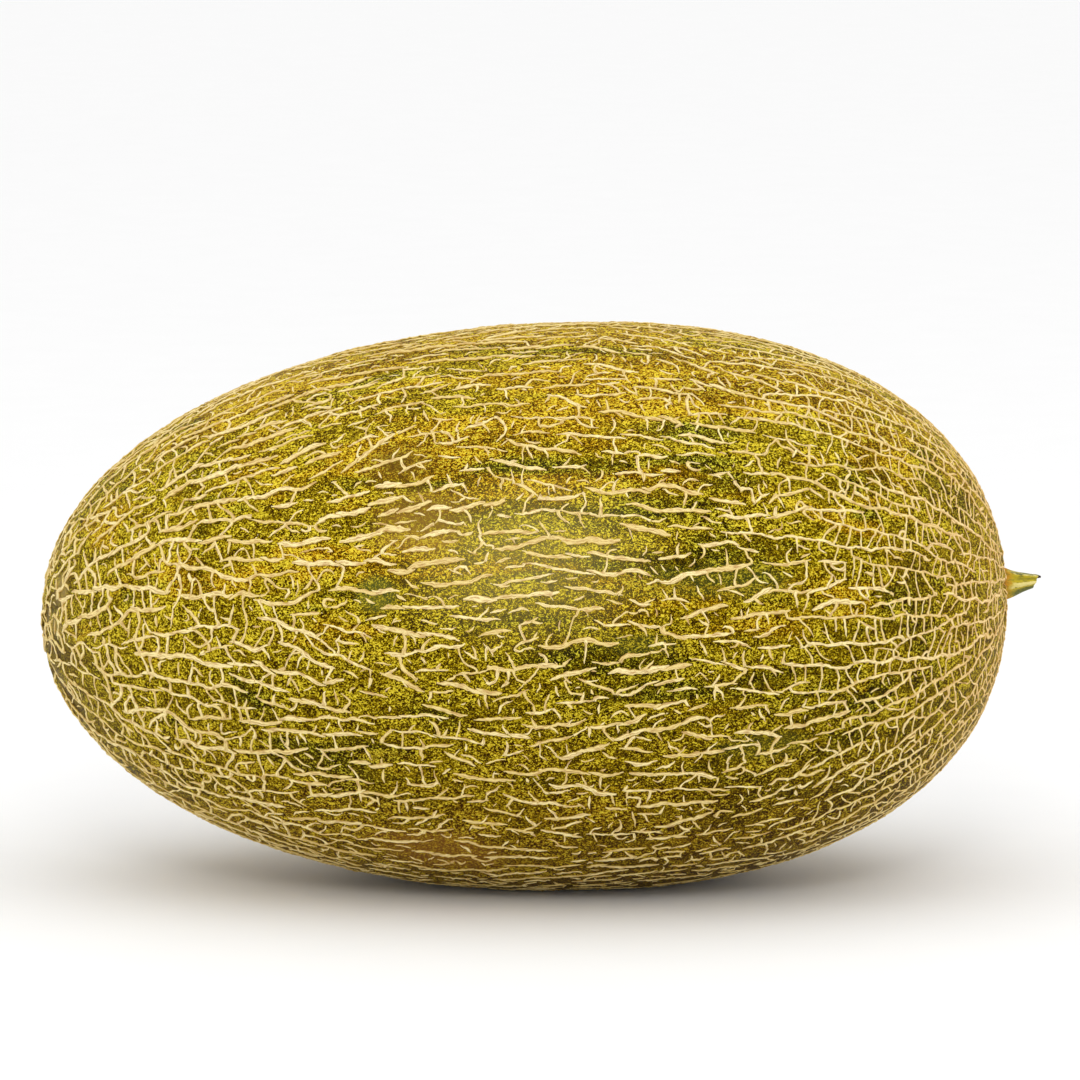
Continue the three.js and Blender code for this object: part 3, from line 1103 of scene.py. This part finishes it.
def net_finish():
    """Matt cream cork with tan feet edged by a painted contact shadow, brown threads, and a split along the
    broad ridges.
    """
    finish = Finish("cork_net")
    place = finish.place()
    across = finish.attribute("across")
    along = finish.attribute("along")
    tone = finish.attribute("tone")
    breadth = finish.attribute("breadth")

    cloud = finish.noise(place, 7, 2.0, 0.6)
    grain = finish.noise(place, 0.5, 2.0, 0.6)
    light = finish.step(tone + cloud - 0.5, 0.15, 0.85)
    base = finish.blend(colour(236, 213, 140), colour(250, 233, 170), light)
    base = finish.blend(base, colour(208, 176, 98), finish.step(grain, 0.54, 0.72) * 0.5)
    x, _, _ = finish.node("ShaderNodeSeparateXYZ", {}, {"Vector": place})
    base = finish.blend(base, colour(240, 196, 136), finish.step(x, 84, 138) * 0.55)
    lengthwise = finish.combined(across * breadth, along * 0.13, tone * 60)
    threads = finish.step(finish.noise(lengthwise, 0.36, 1.0), 0.5, 0.6)
    base = finish.blend(base, colour(176, 126, 74), threads * 0.66)
    edge_for_tan_and_shadow = abs(across)
    # The ridges' tan edges, the cork's own colour.
    base = finish.blend(base, colour(188, 150, 48), finish.step(edge_for_tan_and_shadow, 0.6, 0.84) * 0.7)
    # Painted shadow: a thin dark outline at the ridges' feet, where they meet the skin.
    base = finish.blend(base, colour(84, 60, 8), finish.step(edge_for_tan_and_shadow, 0.8, 0.96) * 0.9)
    split = finish.noise(finish.combined(along * 0.35, tone * 40, 0.0), 1.0, 2.0)
    line = finish.step(abs(across + 0.5 * (split - 0.5)), 0.16, 0.04)
    line = line * finish.step(split, 0.45, 0.6) * finish.step(breadth, 1.1, 1.5)
    base = finish.blend(base, colour(150, 98, 52), line * 0.6)
    return finish.surface({
        "Base Color": base,
        "Roughness": 0.82,
        "Normal": finish.bump(grain, 0.06, 0.6),
        "Specular IOR Level": 0.03,
        "Specular Tint": WARM_SHEEN,
    })


def stub_finish():
    """Dry stem: ochre at its root, green-yellow above, with cream fibres and dark green furrows, and
    painted shade in dark green along its upper and lower sides.
    """
    finish = Finish("dry_stem")
    place = finish.place()
    along = finish.attribute("along")
    rib = finish.attribute("rib")
    underside = finish.attribute("underside")
    cut_end = finish.attribute("cut_end")
    fibres = finish.noise(finish.stretched(place, (0.22, 1, 1)), 0.55, 3.0, 0.6)
    cloud = finish.noise(place, 1.6, 2.0, 0.6)
    spread = along + 0.5 * (cloud - 0.5)
    base = finish.blend(colour(186, 128, 10), colour(182, 162, 14), finish.step(spread, 0.08, 0.42))
    base = finish.blend(base, colour(118, 112, 20), finish.step(fibres, 0.46, 0.36) * 0.8)
    ridge = finish.step(rib + 2.2 * (fibres - 0.5), 0.2, 0.7) * finish.step(spread, 0.2, 0.5)
    base = finish.blend(base, colour(232, 218, 142), ridge * 0.85)
    furrow = finish.step(1.8 * (fibres - 0.5) - rib, 0.5, 1.1) * finish.step(spread, 0.3, 0.6)
    base = finish.blend(base, colour(84, 92, 26), furrow * 0.6)
    # Painted shade: dark green along the stub's lower and upper sides.
    low = finish.step(underside + 0.7 * (fibres - 0.5), 0.45, 0.85)
    high = finish.step(underside + 0.7 * (fibres - 0.5), -0.72, -0.95)
    painted_edge_shade = (low + high) * finish.step(spread, 0.2, 0.5)
    base = finish.blend(base, colour(62, 80, 44), painted_edge_shade * 0.85)
    base = finish.blend(base, colour(206, 186, 120), finish.step(cut_end, 0.02, 0.2))
    base = finish.blend(base, colour(96, 76, 40), finish.step(cut_end, 0.5, 0.9) * 0.8)
    return finish.surface({
        "Base Color": base,
        "Roughness": 0.5 + 0.25 * fibres,
        "Normal": finish.bump(fibres, 0.2, 0.8),
        "Specular IOR Level": 0.3,
    })


def fibre_finish():
    """A dried, nearly black wisp."""
    finish = Finish("dark_fibre")
    streaks = finish.noise(finish.stretched(finish.place(), (0.3, 1, 1)), 0.25, 2.0)
    return finish.surface({
        "Base Color": finish.blend(colour(34, 26, 22), colour(96, 78, 60), finish.step(streaks, 0.4, 0.65)),
        "Roughness": 0.6 + 0.2 * streaks,
        "Normal": finish.bump(streaks, 0.1, 0.7),
        "Specular IOR Level": 0.25,
    })


def scar_finish():
    """Brown-cream cork in rings."""
    finish = Finish("blossom_cork")
    place = finish.place()
    reach = finish.attribute("reach")
    cloud = finish.noise(place, 1.4, 3.0, 0.6)
    light = finish.step(cloud + 0.5 * reach - 0.25, 0.3, 0.7)
    base = finish.blend(colour(150, 120, 66), colour(222, 194, 130), light)
    base = finish.blend(base, colour(92, 66, 30), finish.step(reach + 0.3 * (cloud - 0.5), 0.34, 0.1))
    return finish.surface({
        "Base Color": base,
        "Roughness": 0.85,
        "Normal": finish.bump(cloud, 0.2, 0.7),
        "Specular IOR Level": 0.25,
    })


def floor_finish():
    """Plain pale floor."""
    finish = Finish("pale_floor")
    grain = finish.noise(finish.place(), 30, 2.0)
    base = finish.blend((0.92, 0.92, 0.92, 1), (0.94, 0.94, 0.94, 1), grain)
    return finish.surface({"Base Color": base, "Roughness": 0.9, "Specular IOR Level": 0.1})


def dress(piece, material):
    piece.data.materials.clear()
    piece.data.materials.append(material)


# Floor, light and camera


def make_floor():
    deselect_all()
    bpy.ops.mesh.primitive_grid_add(x_subdivisions=12, y_subdivisions=12, size=14, location=(0, 0, 0))
    floor = bpy.context.object
    floor.name = floor.data.name = "floor"
    dress(floor, floor_finish())
    floor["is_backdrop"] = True


def make_camera():
    camera = bpy.data.objects.new("camera", bpy.data.cameras.new("camera"))
    bpy.context.scene.collection.objects.link(camera)
    camera.data.sensor_width = SENSOR_WIDTH
    camera.data.lens = SENSOR_WIDTH * CAMERA_AWAY / VIEW_HEIGHT
    camera.data.clip_end = 30
    x, y, z = CAMERA_AIM
    camera.location = (
        x, y - CAMERA_AWAY * math.cos(CAMERA_ELEVATION), z + CAMERA_AWAY * math.sin(CAMERA_ELEVATION))
    camera.rotation_euler = (math.pi / 2 - CAMERA_ELEVATION, 0, 0)
    bpy.context.scene.camera = camera


def make_world():
    world = bpy.data.worlds.new("studio")
    bpy.context.scene.world = world
    world.use_nodes = True
    background = world.node_tree.nodes["Background"]
    background.inputs["Color"].default_value = (1, 1, 1, 1)
    background.inputs["Strength"].default_value = WORLD_STRENGTH


def make_lamp(name, kind, energy):
    lamp = bpy.data.objects.new(name, bpy.data.lights.new(name, kind))
    bpy.context.scene.collection.objects.link(lamp)
    lamp.data.energy = energy
    return lamp


def make_ceiling_light():
    """A broad even light from above."""
    lamp = make_lamp("ceiling", "SUN", CEILING_STRENGTH)
    lamp.data.angle = CEILING_SPREAD
    lamp.rotation_euler = (CEILING_LEAN, 0, 0)


def make_soft_box(name, place, size, watts):
    """A square light that faces the fruit."""
    lamp = make_lamp(name, "AREA", watts)
    lamp.data.shape = "SQUARE"
    lamp.data.size = size
    lamp.location = place
    x, y, z = np.array(place) - np.array(LIGHT_AIM)
    lamp.rotation_euler = (math.atan2(math.hypot(x, y), z), 0, math.atan2(y, x) + math.pi / 2)


def make_lights():
    make_world()
    make_ceiling_light()
    for soft_box in SOFT_BOXES:
        make_soft_box(*soft_box)


def build():
    bpy.context.scene.view_settings.view_transform = "Standard"
    rind = make_rind()
    dress(rind, rind_finish())
    net_parts = make_net()
    cork = net_finish()
    for part in net_parts:
        dress(part, cork)
    stub = make_stub()
    dress(stub, stub_finish())
    wisp = make_stub_fibre()
    dress(wisp, fibre_finish())
    scar = make_blossom_scar()
    dress(scar, scar_finish())
    for piece in (rind, *net_parts, stub, wisp, scar):
        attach(piece, "root")
    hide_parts("fruit")
    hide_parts("stem")
    make_floor()
    make_lights()
    make_camera()


build()
[[list(map(float, corner)) for corner in box] for box in (CAD_BOX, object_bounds())]
